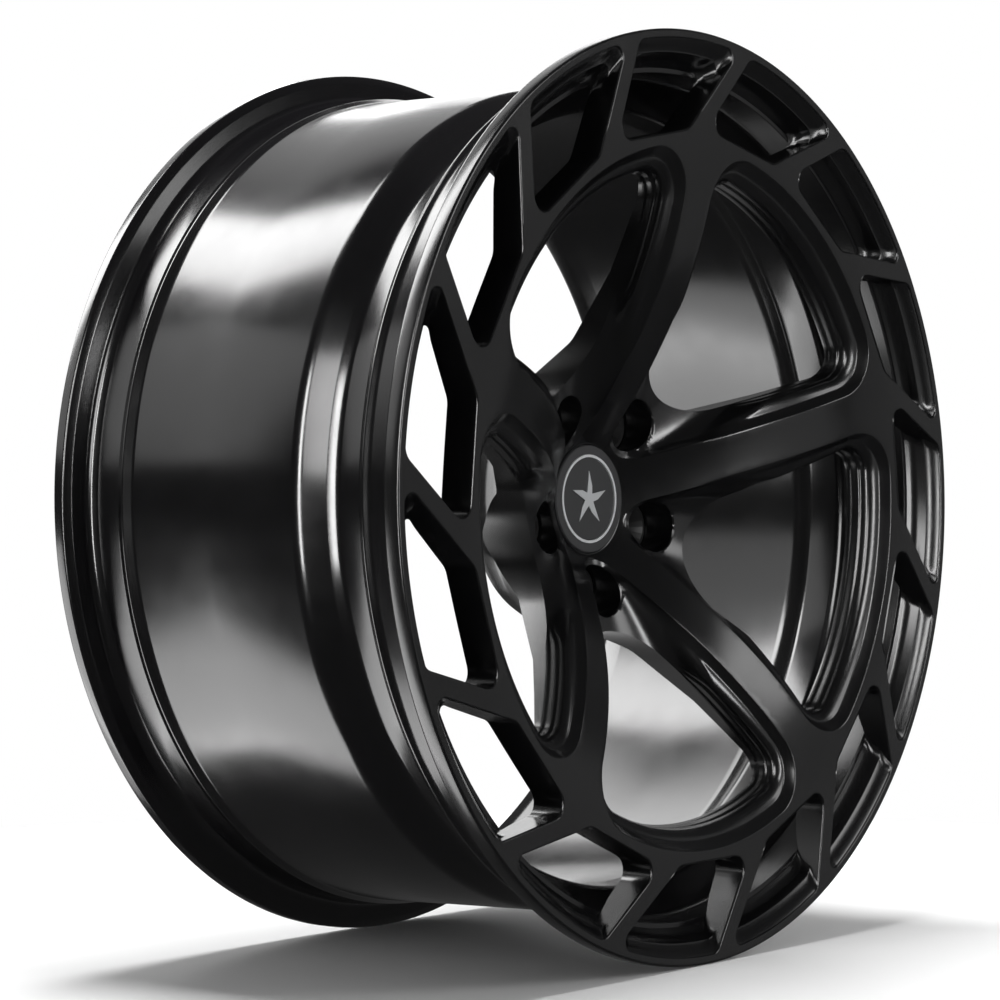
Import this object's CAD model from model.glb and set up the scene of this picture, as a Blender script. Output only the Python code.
import math

import bmesh
import bpy
import numpy as np
from mathutils import Matrix, Vector
from mathutils.geometry import delaunay_2d_cdt


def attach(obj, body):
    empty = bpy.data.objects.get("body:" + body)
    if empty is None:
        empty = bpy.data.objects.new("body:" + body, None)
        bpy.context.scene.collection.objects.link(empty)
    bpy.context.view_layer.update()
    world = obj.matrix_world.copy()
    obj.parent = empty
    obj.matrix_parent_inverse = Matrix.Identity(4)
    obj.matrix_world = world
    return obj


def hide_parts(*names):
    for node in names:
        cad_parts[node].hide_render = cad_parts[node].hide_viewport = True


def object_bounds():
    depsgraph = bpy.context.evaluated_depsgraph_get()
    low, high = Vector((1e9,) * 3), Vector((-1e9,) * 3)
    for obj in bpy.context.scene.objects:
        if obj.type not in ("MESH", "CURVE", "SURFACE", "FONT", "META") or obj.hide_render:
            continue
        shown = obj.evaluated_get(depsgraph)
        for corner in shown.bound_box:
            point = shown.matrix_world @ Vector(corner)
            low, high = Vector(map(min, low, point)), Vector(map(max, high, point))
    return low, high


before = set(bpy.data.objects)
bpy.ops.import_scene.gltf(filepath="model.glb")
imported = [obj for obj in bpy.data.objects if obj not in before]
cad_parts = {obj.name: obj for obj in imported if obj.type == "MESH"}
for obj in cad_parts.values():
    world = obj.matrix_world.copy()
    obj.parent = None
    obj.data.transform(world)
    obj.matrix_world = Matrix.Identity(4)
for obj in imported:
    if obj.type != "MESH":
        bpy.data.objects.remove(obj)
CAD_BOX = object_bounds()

# ---------------------------------------------------------------- dimensions, mm and degrees
# The wheel's axis is Y. Depths are measured back from the foremost plane of the lip,
# and outlines are drawn in the plane of the face.
R = round(CAD_BOX[1][0] * 1000, 2)
FRONT_Y = round(CAD_BOX[0][1] * 1000, 2)
LIP_R = R - 0.1
FACE_R = LIP_R - 1.5
SEAM_R = 256.4
SEAM = 17.0
SPOKES = 5
WINDOWS = 15
SPOKE_TURN = 360 / SPOKES
WINDOW_TURN = 360 / WINDOWS
# direction of the first spoke, and of the middle between two spokes, where a bolt pocket lies
SPOKE = 18.6
BISECTOR = SPOKE - SPOKE_TURN / 2
BORE_R = 34.0
PAD_DEPTH = 120.0
LUG_R = 56.0
POCKET_R = 15.5
POCKET_RIM = 0.7
POCKET_DEPTH = 105.0
BOLT_R = 8.0
WINDOW_FRONT_R = 268.5
WINDOW_REAR_R = 253.0
WINDOW_RIM = 1.1
# between these radii the bevel of a spoke opening fades into the floor round the hub
FLOOR_INNER_R = 66.0
FLOOR_OUTER_R = 98.0
FLOOR_DROP = 20.6
FLOOR_LIP = 2.2
LIP_STEPS = 720
BORE_STEPS = 240
BARREL_STEPS = 480
CREASE = 32.0

# radius and depth of the centre's rear face
BACK = np.array([
    (0, 120), (75.2, 120), (76, 119.4), (82, 103), (98, 80), (137, 51.5), (159, 41), (186, 29),
    (193, 25.4), (214.5, 21.6), (240, 19.6), (250, 17), (300, 17),
])

# fluted bevel of the spoke openings: way across from the front edge to the through edge, and drop
BEVEL = np.array([
    (-1.3, 0.0), (-0.85, 0.06), (-0.4, 0.25), (0.0, 0.62), (0.35, 1.1),
    (2.4, 2.9), (4.2, 4.6), (4.9, 5.1), (5.5, 5.35), (6.3, 5.5), (7.2, 5.8), (8.1, 6.2),
    (9.0, 6.7), (9.8, 7.2), (10.5, 7.75), (11.1, 8.4), (11.5, 9.1), (11.8, 10.0),
    (12.0, 11.0), (12.08, 12.0), (12.12, 12.8), (12.2, 13.4), (12.45, 13.85),
    (12.75, 14.3), (12.9, 15.0), (12.97, 16.4), (13.0, 18.2), (13.06, 19.4),
    (13.2, 19.9), (13.36, 20.4), (13.42, 21.0), (13.46, 21.6), (13.5, 22.2),
])

# the windows narrow towards the rear: depth and radius of their outer side
WINDOW_TAPER = np.array([
    (0.0, WINDOW_FRONT_R), (1.2, 268.0), (6.9, 261.9), (7.2, 261.0), (8.2, 260.4), (13.7, 257.6),
    (SEAM, WINDOW_REAR_R),
])

# radius and depth along the front flange, from the face to the seam
FLANGE = [
    (272.9, 0.05), (273.4, 0.3), (273.75, 0.75), (LIP_R, 1.4), (LIP_R, 5.0), (LIP_R, 9.0),
    (273.7, 10.0), (273.0, 10.8), (271.8, 11.3), (268.0, 11.9), (263.5, 12.6), (260.2, 13.4),
    (258.2, 14.6), (257.0, 16.0), (SEAM_R, SEAM),
]

# radius, depth and fillet radius at each corner of the barrel's section
BARREL = [
    (SEAM_R, SEAM + 0.3, 0.3), (SEAM_R, 36, 8), (257.9, 40, 2.5), (256.0, 44, 3), (240, 52.5, 6),
    (237, 57, 8), (237, 76, 8), (240, 82, 7), (249.5, 96, 14), (251.6, 165, 0), (253.5, 220, 6),
    (256.2, 226, 2.5), (255.2, 230, 3), (256.4, 246, 6), (258.5, 251.5, 5), (269, 253.6, 4),
    (LIP_R, 256.2, 2), (LIP_R, 263.0, 1.2), (273.0, 264.2, 1.0), (254, 264.2, 5), (249.5, 250, 20),
    (248.8, 236, 10), (247.2, 165, 0), (245, 98, 20), (231.5, 80, 10), (231.5, 56, 8), (250, 40, 8),
    (250, SEAM + 0.3, 0.5),
]


def rad(a):
    return math.radians(a)


def ease(t):
    return t * t * (3 - 2 * t)


def dish(r):
    """Depth of the concave face at a radius."""
    return R * 0.626 * np.maximum(0.0, 0.85 - np.asarray(r) / R) ** 2.05


def back(r):
    """Depth of the centre's rear face at a radius."""
    return np.interp(r, BACK[:, 0], BACK[:, 1])


# ---------------------------------------------------------------- outlines
def side(inward, distance):
    """A straight side: the direction of its normal, and its distance from the axis."""
    return (math.cos(rad(inward)), math.sin(rad(inward)), distance)


def arc_points(cx, cy, radius, a0, a1, steps):
    sweep = (a1 - a0) % (2 * math.pi)
    t = a0 + sweep * np.arange(steps + 1) / steps
    return np.stack([cx + radius * np.cos(t), cy + radius * np.sin(t)], 1)


def outline(sides, arc_r, rhos, corner, inner, straight, arc):
    """Straight sides closed by an arc about the wheel axis, corners rounded, counter-clockwise."""
    def end_fillet(line, rho, out):
        h = line[2] + rho
        t = out * math.sqrt((arc_r - rho) ** 2 - h * h)
        return line[0] * h + line[1] * t, line[1] * h - line[0] * t

    def mid_fillet(a, b, rho):
        det = a[0] * b[1] - a[1] * b[0]
        p, q = a[2] + rho, b[2] + rho
        return (p * b[1] - q * a[1]) / det, (a[0] * q - b[0] * p) / det

    def turned(line):
        return math.atan2(-line[1], -line[0])

    c0 = end_fillet(sides[0], rhos[0], -1)
    c1 = end_fillet(sides[-1], rhos[-1], 1)
    a0 = math.atan2(c0[1], c0[0])
    a1 = math.atan2(c1[1], c1[0])
    pieces = [arc_points(*c0, rhos[0], a0, turned(sides[0]), corner)]
    for i in range(len(sides) - 1):
        c = mid_fillet(sides[i], sides[i + 1], rhos[i + 1])
        pieces.append(arc_points(*c, rhos[i + 1], turned(sides[i]), turned(sides[i + 1]), inner))
    pieces.append(arc_points(*c1, rhos[-1], turned(sides[-1]), a1, corner))
    points = [pieces[0]]
    for i in range(1, len(pieces)):
        s = (np.arange(1, straight) / straight)[:, None]
        points.append(pieces[i - 1][-1] * (1 - s) + pieces[i][0] * s)
        points.append(pieces[i])
    points.append(arc_points(0, 0, arc_r, a1, a0, arc)[1:-1])
    return np.concatenate(points)


def turn(p, degrees):
    c, s = math.cos(rad(degrees)), math.sin(rad(degrees))
    return np.stack([p[:, 0] * c - p[:, 1] * s, p[:, 0] * s + p[:, 1] * c], 1)


def circle(radius, n, cx=0.0, cy=0.0):
    t = 2 * math.pi * np.arange(n) / n
    return np.stack([cx + radius * np.cos(t), cy + radius * np.sin(t)], 1)


def window(outer_r, grow=0.0):
    """One window of the outer ring, its outer side at the given radius, grown on every side."""
    sides = [side(-19.8, -149.7 - grow), side(102.8, 213.9 - grow), side(135.5, 163.8 - grow)]
    rhos = [9 + grow, 8.2 + grow, 10.9 + grow, 5.5 + grow]
    return outline(sides, outer_r + grow, rhos, 8, 8, 16, 22)


STEPS = (20, 30, 44, 56)
OPEN_FRONT = outline(
    [side(SPOKE - 90, 14.8), side(SPOKE + 18, 11.8)], 206.9, [28, 19.6, 28], *STEPS)
OPEN_BACK = outline([side(-67.8, 36.0), side(34.6, 30.1)], 193.4, [14.5, 45.6, 14.5], *STEPS)
LUGS = [
    (LUG_R * math.cos(rad(BISECTOR + SPOKE_TURN * k)), LUG_R * math.sin(rad(BISECTOR + SPOKE_TURN * k)))
    for k in range(SPOKES)
]


# ---------------------------------------------------------------- mesh helpers
class Builder:
    """Collects rows of points and the faces between them, in metres, for one mesh."""

    def __init__(self):
        self.v = []
        self.f = []

    def add(self, xz, depth):
        depth = np.broadcast_to(depth, (len(xz),))
        start = len(self.v)
        self.v += [(x * 1e-3, (FRONT_Y + d) * 1e-3, z * 1e-3) for (x, z), d in zip(xz, depth)]
        return list(range(start, start + len(xz)))

    def bridge(self, a, b, flip=False):
        n = len(a)
        for i in range(n):
            j = (i + 1) % n
            quad = (a[i], a[j], b[j], b[i])
            self.f.append(quad[::-1] if flip else quad)

    def skin(self, rows, flip=False):
        for a, b in zip(rows, rows[1:]):
            self.bridge(a, b, flip)

    def fill(self, points, tris, ids, to_front):
        """Triangles of a flat triangulation, wound to face the front or the rear."""
        p, q, r = points[tris[:, 0]], points[tris[:, 1]], points[tris[:, 2]]
        u, v = q - p, r - p
        ccw = u[:, 0] * v[:, 1] - v[:, 0] * u[:, 1] > 0
        for t, same in zip(ids[tris], ccw == to_front):
            self.f.append(tuple(int(i) for i in (t if same else t[::-1])))

    def object(self, name, body, look):
        mesh = bpy.data.meshes.new(name)
        mesh.from_pydata(self.v, [], self.f)
        mesh.validate()
        mesh.update()
        obj = bpy.data.objects.new(name, mesh)
        bpy.context.scene.collection.objects.link(obj)
        mesh.materials.append(look)
        mesh.polygons.foreach_set("use_smooth", [True] * len(mesh.polygons))
        mesh.set_sharp_from_angle(angle=rad(CREASE))
        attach(obj, body)
        return obj


def inside(points, loop):
    """Even-odd test of many points against one closed loop."""
    x, y = points[:, 0][:, None], points[:, 1][:, None]
    ax, ay = loop[:, 0][None], loop[:, 1][None]
    bx, by = np.roll(loop[:, 0], -1)[None], np.roll(loop[:, 1], -1)[None]
    cross = (ay > y) != (by > y)
    with np.errstate(divide="ignore", invalid="ignore"):
        hit = x < ax + (y - ay) * (bx - ax) / (by - ay)
    return (np.sum(cross & hit, 1) % 2) == 1


def clear_of(points, loops, growth):
    """The points outside every loop, each loop grown a little about its middle."""
    keep = np.ones(len(points), bool)
    for loop in loops:
        keep &= ~inside(points, loop.mean(0) + (loop - loop.mean(0)) * growth)
    return points[keep]


def triangulate(loops, extra):
    """Constrained triangulation. Returns points, triangles, index of each loop's points."""
    verts, edges, starts = [], [], []
    for loop in loops:
        s = len(verts)
        starts.append((s, len(loop)))
        verts += [Vector((float(x), float(y))) for x, y in loop]
        edges += [(s + i, s + (i + 1) % len(loop)) for i in range(len(loop))]
    verts += [Vector((float(x), float(y))) for x, y in extra]
    out = delaunay_2d_cdt(verts, edges, [], 0, 1e-5)
    points = np.array([tuple(v) for v in out[0]])
    tris = np.array([tuple(f) for f in out[2]])
    new_index = {}
    for new, olds in enumerate(out[3]):
        for old in olds:
            new_index[old] = new
    index = [[new_index[s + i] for i in range(n)] for s, n in starts]
    return points, tris, index


def cut_holes(points, tris, holes, outer_r):
    """The triangles between the bore and an outer radius that lie outside every hole."""
    centres = points[tris].mean(1)
    r = np.hypot(*centres.T)
    keep = (r < outer_r) & (r > BORE_R * math.cos(math.pi / BORE_STEPS))
    for hole in holes:
        near = np.all((centres >= hole.min(0)) & (centres <= hole.max(0)), 1) & keep
        ids = np.nonzero(near)[0]
        keep[ids[inside(centres[ids], hole)]] = False
    return tris[keep]


def polar_grid(r0, r1, step):
    """Points about evenly spaced between two radii, in staggered rings."""
    out = []
    r = r0
    ring = 0
    while r < r1:
        n = max(24, int(2 * math.pi * r / step))
        t = 2 * math.pi * (np.arange(n) + 0.5 * (ring % 2)) / n
        out.append(np.stack([r * np.cos(t), r * np.sin(t)], 1))
        r += step * 0.87
        ring += 1
    return np.concatenate(out)


# ---------------------------------------------------------------- forged centre
def bevel_rows():
    """Outlines and depths of one spoke opening's bevel, from its front edge to its through edge."""
    shares = BEVEL[:, 0] / BEVEL[-1, 0]
    outlines = [OPEN_FRONT + (OPEN_BACK - OPEN_FRONT) * s for s in shares]
    # round the hub the bevel opens into a plain sloping floor for the bolt pockets
    reach = (np.hypot(*OPEN_FRONT.T) - FLOOR_INNER_R) / (FLOOR_OUTER_R - FLOOR_INNER_R)
    away = ease(np.clip(reach, 0, 1))
    depths = []
    for share, points, drop in zip(shares, outlines, BEVEL[:, 1]):
        s = max(0.0, share)
        floor_drop = FLOOR_DROP * s + FLOOR_LIP * ease(min(1.0, s / 0.12)) * (1 - s)
        depths.append(dish(np.hypot(*points.T)) + drop * away + floor_drop * (1 - away))
    return outlines, depths


def bevel_depth(points, outlines, depths):
    """Depth of the bevel at any points of the first opening, from its flat triangles."""
    flat, depth_flat = np.concatenate(outlines), np.concatenate(depths)
    n = len(OPEN_FRONT)
    i = np.arange(n)
    j = (i + 1) % n
    tri = []
    for k in range(len(outlines) - 1):
        a, c = k * n, (k + 1) * n
        tri.append(np.stack([a + i, a + j, c + j], 1))
        tri.append(np.stack([a + i, c + j, c + i], 1))
    tri = np.concatenate(tri)
    origin = flat[tri[:, 0]]
    e, f = flat[tri[:, 1]] - origin, flat[tri[:, 2]] - origin
    det = e[:, 0] * f[:, 1] - f[:, 0] * e[:, 1]
    det = np.where(np.abs(det) < 1e-12, 1e-12, det)
    out = np.zeros(len(points))
    for at, point in enumerate(points):
        g = point - origin
        u = (g[:, 0] * f[:, 1] - f[:, 0] * g[:, 1]) / det
        v = (e[:, 0] * g[:, 1] - g[:, 0] * e[:, 1]) / det
        k = int(np.argmax(np.minimum(np.minimum(u, v), 1 - u - v)))
        d = depth_flat[tri[k]]
        out[at] = d[0] + u[k] * (d[1] - d[0]) + v[k] * (d[2] - d[0])
    return out


def front_loops(outlines):
    """Every edge drawn on the front face, keyed by what it bounds, which one, and its row."""
    loops = {}
    for k in range(SPOKES):
        for row, points in enumerate(outlines):
            loops["opening", k, row] = turn(points, SPOKE_TURN * k)
    for k, centre in enumerate(LUGS):
        loops["pocket_edge", k, 0] = circle(POCKET_R + POCKET_RIM, 96, *centre)
        loops["pocket", k, 0] = circle(POCKET_R, 96, *centre)
    for k in range(WINDOWS):
        loops["window", k, 0] = turn(window(WINDOW_FRONT_R, WINDOW_RIM), WINDOW_TURN * k)
    loops["lip", 0, 0] = circle(FACE_R, LIP_STEPS)
    loops["bore", 0, 0] = circle(BORE_R, BORE_STEPS)
    return loops


def front_face(b, outlines, depths):
    """The face with its bevels. Returns each loop's vertices, and each pocket's rim."""
    loops = front_loops(outlines)
    last = len(outlines) - 1
    extra = np.concatenate([polar_grid(36, 236, 3.4), polar_grid(238, 270, 9.0)])
    extra = clear_of(extra, [p for key, p in loops.items() if key[0] == "opening" and key[2] == 0], 1.02)
    extra = clear_of(extra, [p for key, p in loops.items() if key[0] == "window"], 1.04)
    points, tris, index = triangulate(list(loops.values()), extra)
    where = dict(zip(loops, index))
    holes = [
        p for key, p in loops.items()
        if key[0] in ("pocket", "window") or (key[0] == "opening" and key[2] == last)
    ]
    tris = cut_holes(points, tris, holes, FACE_R)

    depth = dish(np.hypot(*points.T))
    known = np.zeros(len(points), bool)
    for k in range(SPOKES):
        for row in range(len(outlines)):
            ix = where["opening", k, row]
            depth[ix] = depths[row]
            known[ix] = True
    from_lug = [np.hypot(points[:, 0] - x, points[:, 1] - y) for x, y in LUGS]
    for k in range(SPOKES):
        ids = np.nonzero((from_lug[k] < POCKET_R + POCKET_RIM + 0.05) & ~known)[0]
        depth[ids] = bevel_depth(turn(points[ids], -SPOKE_TURN * k), outlines, depths)
        # the pocket's rim is chamfered
        depth[from_lug[k] < POCKET_R + 0.01] += POCKET_RIM

    used = np.unique(tris)
    ids = np.full(len(points), -1)
    ids[used] = b.add(points[used], depth[used])
    b.fill(points, tris, ids, True)
    edges = {key: [int(i) for i in ids[ix]] for key, ix in where.items()}
    rims = []
    for k, (x, y) in enumerate(LUGS):
        on_rim = np.array([q for q in used if abs(from_lug[k][q] - POCKET_R) < 2e-2])
        on_rim = on_rim[np.argsort(np.arctan2(points[on_rim, 1] - y, points[on_rim, 0] - x))]
        rims.append(([int(i) for i in ids[on_rim]], points[on_rim], depth[on_rim]))
    return edges, rims


def opening_wall(b, front, points, top):
    """From a bevel's through edge to the rear face. Returns the rear edge."""
    bottom = np.maximum(back(np.hypot(*points.T)), top + 1.2)
    rows = [front]
    for s in (0.05, 0.35, 0.7, 1.0):
        rows.append(b.add(points, top + (bottom - 0.4 - top) * s))
    rows.append(b.add(points, bottom))
    b.skin(rows, True)
    return points, rows[-1]


def window_wall(b, front, k):
    """A window's rounded rim and its tapering wall. Returns the rear edge."""
    rows = [front]
    for grow, depth in ((0.72, 0.07), (0.33, 0.33), (0.08, 0.7), (0.0, WINDOW_RIM)):
        rows.append(b.add(turn(window(WINDOW_FRONT_R, grow), WINDOW_TURN * k), depth))
    rear = window(WINDOW_REAR_R)
    stretch = back(np.hypot(*rear.T)) / SEAM
    for depth in (1.6, 4.0, 6.9, 7.2, 8.2, 11.0, 13.7, 15.6, SEAM):
        outer_r = float(np.interp(depth, WINDOW_TAPER[:, 0], WINDOW_TAPER[:, 1]))
        rows.append(b.add(turn(window(outer_r), WINDOW_TURN * k), depth * stretch))
    b.skin(rows, True)
    return turn(rear, WINDOW_TURN * k), rows[-1]


def bolt_pocket(b, rim, centre):
    """A pocket's wall, its floor and the bolt hole through it. Returns the rear edge."""
    ring, points, top = rim
    c = np.array([centre])
    out = (points - c) / np.linalg.norm(points - c, axis=1)[:, None]
    rows = [ring]
    for s in (0.04, 0.5, 0.97):
        rows.append(b.add(points, top + (POCKET_DEPTH - top) * s))
    for r, depth in ((POCKET_R - 0.8, POCKET_DEPTH), (BOLT_R + 0.5, POCKET_DEPTH),
                     (BOLT_R, POCKET_DEPTH + 0.5), (BOLT_R, PAD_DEPTH - 0.6), (BOLT_R + 0.6, PAD_DEPTH)):
        rows.append(b.add(c + out * r, depth))
    b.skin(rows, True)
    return c + out * (BOLT_R + 0.6), rows[-1]


def front_flange(b, face):
    rows = [face] + [b.add(circle(r, LIP_STEPS), d) for r, d in FLANGE]
    b.skin(rows)
    return circle(SEAM_R, LIP_STEPS), rows[-1]


def hub_bore(b, face):
    """The cap's bore, the shoulder it rests on, and the rear bore. Returns the rear edge."""
    edge = float(dish(BORE_R))
    section = (
        (33.5, edge + 0.15), (33.3, edge + 0.6), (33.3, 93.0), (30.5, 93.0), (30.5, 97.0),
        (33.4, 97.0), (33.4, 119.4), (BORE_R, PAD_DEPTH),
    )
    rows = [face] + [b.add(circle(r, BORE_STEPS), d) for r, d in section]
    b.skin(rows, True)
    return circle(BORE_R, BORE_STEPS), rows[-1]


def rear_face(b, holes, rims):
    """The rear surface between the rear edges of the holes and those of the flange and the bore."""
    edges = holes + rims
    loops = [points for points, ids in edges]
    extra = clear_of(polar_grid(40, 255, 4.0), loops[:SPOKES + WINDOWS], 1.03)
    for x, y in LUGS:
        extra = extra[np.hypot(extra[:, 0] - x, extra[:, 1] - y) > BOLT_R + 2]
    extra = extra[np.hypot(*extra.T) < SEAM_R - 0.9]
    points, tris, index = triangulate(loops, extra)
    tris = cut_holes(points, tris, loops[:len(holes)], SEAM_R)
    ids = np.full(len(points), -1)
    for (_, edge), ix in zip(edges, index):
        ids[ix] = edge
    used = np.unique(tris)
    new = used[ids[used] < 0]
    ids[new] = b.add(points[new], back(np.hypot(*points[new].T)))
    b.fill(points, tris, ids, False)


def build_disc(look):
    b = Builder()
    outlines, depths = bevel_rows()
    last = len(outlines) - 1
    edges, rims = front_face(b, outlines, depths)
    holes = []
    for k in range(SPOKES):
        through = turn(outlines[last], SPOKE_TURN * k)
        holes.append(opening_wall(b, edges["opening", k, last], through, depths[last]))
    holes += [window_wall(b, edges["window", k, 0], k) for k in range(WINDOWS)]
    holes += [bolt_pocket(b, rim, centre) for rim, centre in zip(rims, LUGS)]
    rear_rims = [front_flange(b, edges["lip", 0, 0]), hub_bore(b, edges["bore", 0, 0])]
    rear_face(b, holes, rear_rims)
    return b.object("forged_centre", "wheel", look)


# ---------------------------------------------------------------- barrel
def fillet_profile(points):
    """(radius, depth, fillet radius) corners of a closed profile to a rounded polyline."""
    out = []
    n = len(points)
    for i, (r, d, rho) in enumerate(points):
        p = np.array([r, d])
        a = np.array(points[i - 1][:2]) - p
        c = np.array(points[(i + 1) % n][:2]) - p
        la, lc = np.linalg.norm(a), np.linalg.norm(c)
        a, c = a / la, c / lc
        angle = math.acos(max(-1.0, min(1.0, float(a @ c))))
        if rho <= 0 or angle > math.pi - 0.02:
            out.append(tuple(p))
            continue
        reach = min(rho / math.tan(angle / 2), la * 0.48, lc * 0.48)
        rho = reach * math.tan(angle / 2)
        centre = p + (a + c) / np.linalg.norm(a + c) * (rho / math.sin(angle / 2))
        s, e = p + a * reach, p + c * reach
        a0 = math.atan2(s[1] - centre[1], s[0] - centre[0])
        a1 = math.atan2(e[1] - centre[1], e[0] - centre[0])
        sweep = (a1 - a0 + math.pi) % (2 * math.pi) - math.pi
        steps = max(2, int(abs(sweep) / rad(9)))
        for k in range(steps + 1):
            t = a0 + sweep * k / steps
            out.append((centre[0] + rho * math.cos(t), centre[1] + rho * math.sin(t)))
    return out


def revolve(name, body, look, profile, segments):
    """A closed (radius, depth) profile turned about the wheel's axis."""
    b = Builder()
    rings = [b.add(circle(r, segments), d) for r, d in profile]
    b.skin(rings + rings[:1])
    obj = b.object(name, body, look)
    bm = bmesh.new()
    bm.from_mesh(obj.data)
    bmesh.ops.recalc_face_normals(bm, faces=bm.faces)
    if bm.calc_volume(signed=True) < 0:
        bmesh.ops.reverse_faces(bm, faces=bm.faces)
    bm.to_mesh(obj.data)
    bm.free()
    return obj


# ---------------------------------------------------------------- materials
def uneven_gloss(nodes, links, shader, rough):
    """Lets the roughness wander a little over the surface. Returns the coordinates it uses."""
    noise = nodes.new("ShaderNodeTexNoise")
    noise.inputs["Scale"].default_value = 45.0
    noise.inputs["Detail"].default_value = 4.0
    coord = nodes.new("ShaderNodeTexCoord")
    links.new(coord.outputs["Object"], noise.inputs["Vector"])
    spread = nodes.new("ShaderNodeMapRange")
    spread.inputs["From Min"].default_value = 0.3
    spread.inputs["From Max"].default_value = 0.7
    spread.inputs["To Min"].default_value = rough - 0.02
    spread.inputs["To Max"].default_value = rough + 0.02
    links.new(noise.outputs["Fac"], spread.inputs["Value"])
    links.new(spread.outputs["Result"], shader.inputs["Roughness"])
    return coord


def material(name, colour, rough, metallic=0.0, grain=0.0):
    m = bpy.data.materials.new(name)
    m.use_nodes = True
    nodes, links = m.node_tree.nodes, m.node_tree.links
    shader = nodes["Principled BSDF"]
    shader.inputs["Base Color"].default_value = (*colour, 1)
    shader.inputs["Metallic"].default_value = metallic
    coord = uneven_gloss(nodes, links, shader, rough)
    if grain:
        fine = nodes.new("ShaderNodeTexNoise")
        fine.inputs["Scale"].default_value = 1400.0
        fine.inputs["Detail"].default_value = 2.0
        links.new(coord.outputs["Object"], fine.inputs["Vector"])
        bump = nodes.new("ShaderNodeBump")
        bump.inputs["Strength"].default_value = grain
        bump.inputs["Distance"].default_value = 0.0002
        links.new(fine.outputs["Fac"], bump.inputs["Height"])
        links.new(bump.outputs["Normal"], shader.inputs["Normal"])
    return m


COAT = material("coat_black", (0.004, 0.004, 0.0044), 0.21, grain=0.03)
COAT_BARREL = material("coat_barrel", (0.004, 0.0038, 0.0044), 0.17, grain=0.02)
STEEL = material("zinc_steel", (0.42, 0.43, 0.44), 0.38, metallic=1.0)
PLASTIC = material("cap_plastic", (0.028, 0.028, 0.030), 0.42, grain=0.2)
BADGE = material("cap_badge", (0.026, 0.0265, 0.028), 0.40, grain=0.05)
TRIM = material("cap_trim", (0.62, 0.63, 0.64), 0.4, metallic=0.3)
EMBLEM = material("cap_emblem", (0.5, 0.51, 0.52), 0.4, metallic=0.3)
RUBBER = material("rubber", (0.018, 0.018, 0.018), 0.7, grain=0.2)
SEAT = material("seat_black", (0.012, 0.012, 0.012), 0.5)
BRASS = material("brass", (0.55, 0.38, 0.16), 0.35, metallic=1.0)
ANODISED = material("anodised", (0.16, 0.165, 0.17), 0.4, metallic=0.9)

disc = build_disc(COAT)
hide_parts("disc_face")
barrel = revolve("rim_barrel", "wheel", COAT_BARREL, fillet_profile(BARREL), BARREL_STEPS)
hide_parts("barrel")

LOOK = {
    "cap_body": PLASTIC, "cap_badge": BADGE, "cap_emblem": EMBLEM, "cap_trim_ring": TRIM, "cap_seal": RUBBER,
    "cap_spring_ring": STEEL, "hub_centring_ring": ANODISED, "valve_stem": ANODISED,
    "valve_grommet": RUBBER, "valve_washer": STEEL, "valve_nut": STEEL, "valve_core_body": BRASS,
    "valve_core_pin": STEEL, "valve_core_spring": STEEL, "valve_core_seal": RUBBER,
    "valve_cap": PLASTIC, "valve_cap_seal": RUBBER,
}
for name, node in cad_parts.items():
    look = LOOK.get(name, SEAT if name.startswith("lug_seat") else COAT)
    node.data.materials.clear()
    node.data.materials.append(look)

# ---------------------------------------------------------------- stage, light and camera, m
FLOOR_Z = CAD_BOX[0][2] - 0.0001
FLOOR_R = 0.82
ROOM_GLOW = 0.07
SOFT_SHARE = 0.25
WHITE = (1, 1, 1, 1)


def floor_disc():
    """A white disc that takes the shadow. Reflections and lamps pass through it."""
    mesh = bpy.data.meshes.new("floor")
    rim = [(x, y, FLOOR_Z) for x, y in circle(FLOOR_R, 180)]
    mesh.from_pydata(rim, [], [tuple(range(len(rim)))])
    obj = bpy.data.objects.new("floor", mesh)
    bpy.context.scene.collection.objects.link(obj)
    white = bpy.data.materials.new("floor_white")
    white.use_nodes = True
    shader = white.node_tree.nodes["Principled BSDF"]
    shader.inputs["Base Color"].default_value = (0.93, 0.93, 0.93, 1)
    shader.inputs["Roughness"].default_value = 0.6
    shader.inputs["Specular IOR Level"].default_value = 0.2
    mesh.materials.append(white)
    obj.visible_glossy = False
    obj.visible_shadow = False
    return obj


def studio_world():
    """White behind the object, a third as bright as soft light, nearly dark in reflections."""
    world = bpy.data.worlds.new("studio")
    bpy.context.scene.world = world
    world.use_nodes = True
    nodes, links = world.node_tree.nodes, world.node_tree.links
    backdrop = nodes["Background"]
    backdrop.inputs["Color"].default_value = WHITE
    backdrop.inputs["Strength"].default_value = 1.0
    dim = nodes.new("ShaderNodeBackground")
    dim.inputs["Color"].default_value = WHITE
    dim.inputs["Strength"].default_value = ROOM_GLOW
    ray = nodes.new("ShaderNodeLightPath")
    share = nodes.new("ShaderNodeMath")
    share.operation = "MULTIPLY_ADD"
    share.inputs[1].default_value = SOFT_SHARE
    mix = nodes.new("ShaderNodeMixShader")
    links.new(ray.outputs["Is Diffuse Ray"], share.inputs[0])
    links.new(ray.outputs["Is Camera Ray"], share.inputs[2])
    links.new(share.outputs[0], mix.inputs["Fac"])
    links.new(dim.outputs["Background"], mix.inputs[1])
    links.new(backdrop.outputs["Background"], mix.inputs[2])
    links.new(mix.outputs["Shader"], nodes["World Output"].inputs["Surface"])


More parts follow.
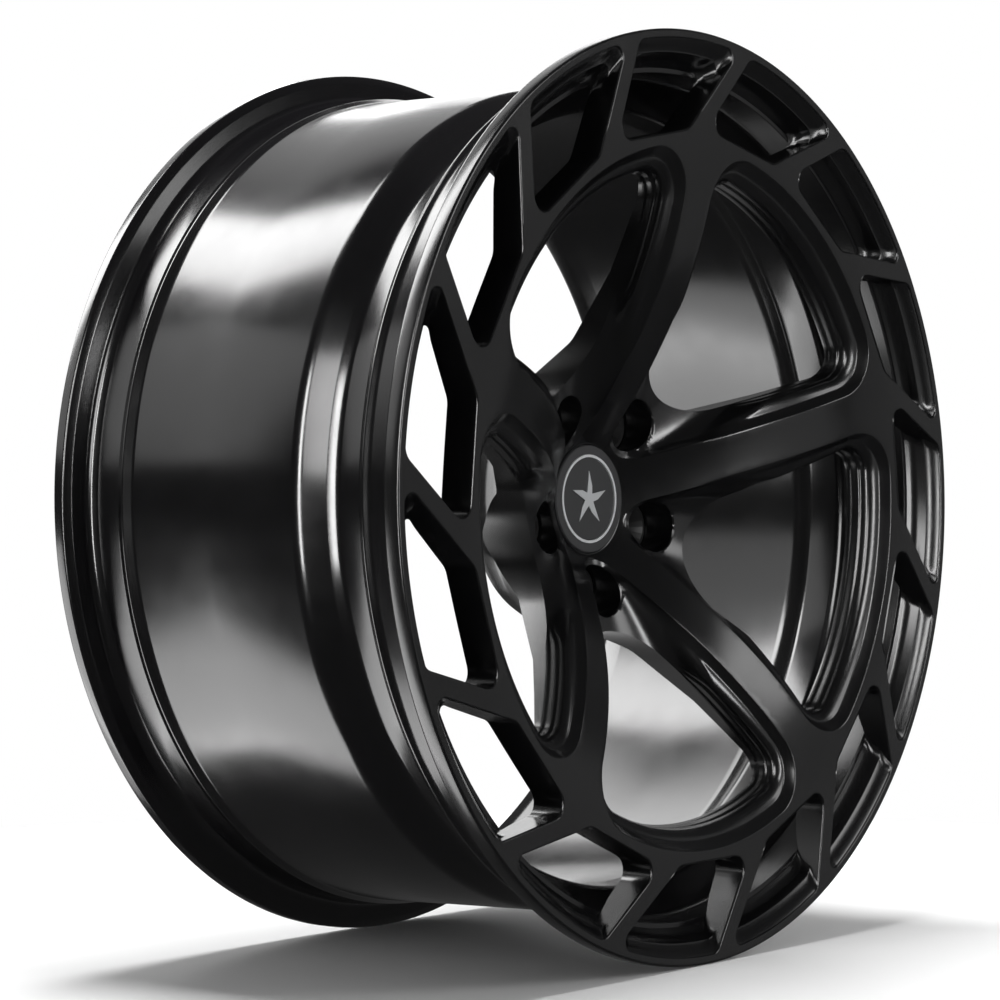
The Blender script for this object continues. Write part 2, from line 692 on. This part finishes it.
def area(name, place, target, width, height, radiance, diffuse=False):
    """A softbox of a given brightness. Most are seen only as highlights in the coating."""
    lamp = bpy.data.lights.new(name, "AREA")
    lamp.shape = "RECTANGLE"
    lamp.size, lamp.size_y = width, height
    lamp.energy = radiance * math.pi * width * height
    o = bpy.data.objects.new(name, lamp)
    bpy.context.scene.collection.objects.link(o)
    o.location = place
    o.rotation_mode = "QUATERNION"
    o.rotation_quaternion = (Vector(target) - Vector(place)).to_track_quat("-Z", "Y")
    o.visible_diffuse = diffuse
    return o


def aim_camera(target, distance, heading, pitch, lens):
    """A camera looking at the target along a heading from +X and a pitch, without roll."""
    data = bpy.data.cameras.new("camera")
    data.sensor_width = 36.0
    data.lens = lens
    data.clip_start = 0.01
    data.clip_end = 60.0
    camera = bpy.data.objects.new("camera", data)
    bpy.context.scene.collection.objects.link(camera)
    h, p = rad(heading), rad(pitch)
    ahead = Vector((math.cos(p) * math.cos(h), math.cos(p) * math.sin(h), math.sin(p)))
    right = Vector((math.sin(h), -math.cos(h), 0.0))
    up = right.cross(ahead)
    place = Vector(target) - ahead * distance
    camera.matrix_world = Matrix([(right[i], up[i], -ahead[i], place[i]) for i in range(3)] + [(0, 0, 0, 1)])
    bpy.context.scene.camera = camera


floor = floor_disc()
studio_world()

# the broad bands along the barrel
area("back_softbox", (-0.84, 1.86, 1.94), (-0.15, 0.06, 0.20), 0.80, 2.2, 14.0)
area("high_wall", (0.64, 1.75, 1.67), (0.0, 0.08, 0.22), 1.5, 1.1, 0.9)
area("left_wall", (-1.92, 2.16, 1.12), (-0.22, 0.03, 0.05), 1.5, 1.5, 1.5)
# from the left and the front: the lines on the flanges, the bevels and the face
area("left_strip", (-2.6, -0.3, 0.3), (0, 0, 0.05), 0.28, 2.2, 32.0)
area("left_key", (-2.2, -1.2, 0.85), (-0.24, -0.05, 0.05), 1.0, 1.3, 11.0)
area("front_strip", (-0.24, -2.45, 0.45), (0.05, -0.1, 0), 0.3, 1.3, 20.0)
area("front_key", (1.15, -2.25, 0.95), (0.1, -0.1, -0.1), 1.0, 0.9, 5.0, True)
area("front_fill", (0.55, -3.0, -0.1), (0.05, -0.1, 0), 1.8, 1.8, 0.45, True)
area("right_fill", (2.6, -2.2, 0.1), (0, -0.1, 0), 2.0, 2.4, 0.2)
# from the right and behind: the inside of the barrel and the walls of the openings
area("right_wall", (2.2, 1.4, 1.1), (0.2, 0.05, 0), 1.3, 1.4, 2.2)
area("rear_fill", (1.15, 2.9, -0.1), (0.15, 0.0, 0.0), 1.0, 1.8, 1.3)
area("rear_panel", (0.32, 0.88, 0.62), (0.05, 0.0, -0.2), 0.6, 0.36, 4.5)
# the floor's brightness as the lower half of the barrel would reflect it
area("low_panel", (-0.96, 1.16, -0.97), (-0.20, 0.05, -0.13), 0.6, 1.7, 5.4)
area("low_right", (-0.52, 1.16, -0.92), (0.215, 0.05, 0.12), 0.42, 0.6, 2.6)
# the floor's own light: soft, from overhead, kept out of the reflections
overhead = area("overhead", (0.12, 0.15, 1.95), (0.05, 0.15, 0), 0.95, 0.8, 27.0, True)
overhead.visible_glossy = False

aim_camera(target=(0.0, 0.0263, 0.0), distance=1.7064, heading=39.4946, pitch=0.9483, lens=98.29)
bpy.context.scene.view_settings.view_transform = "Standard"
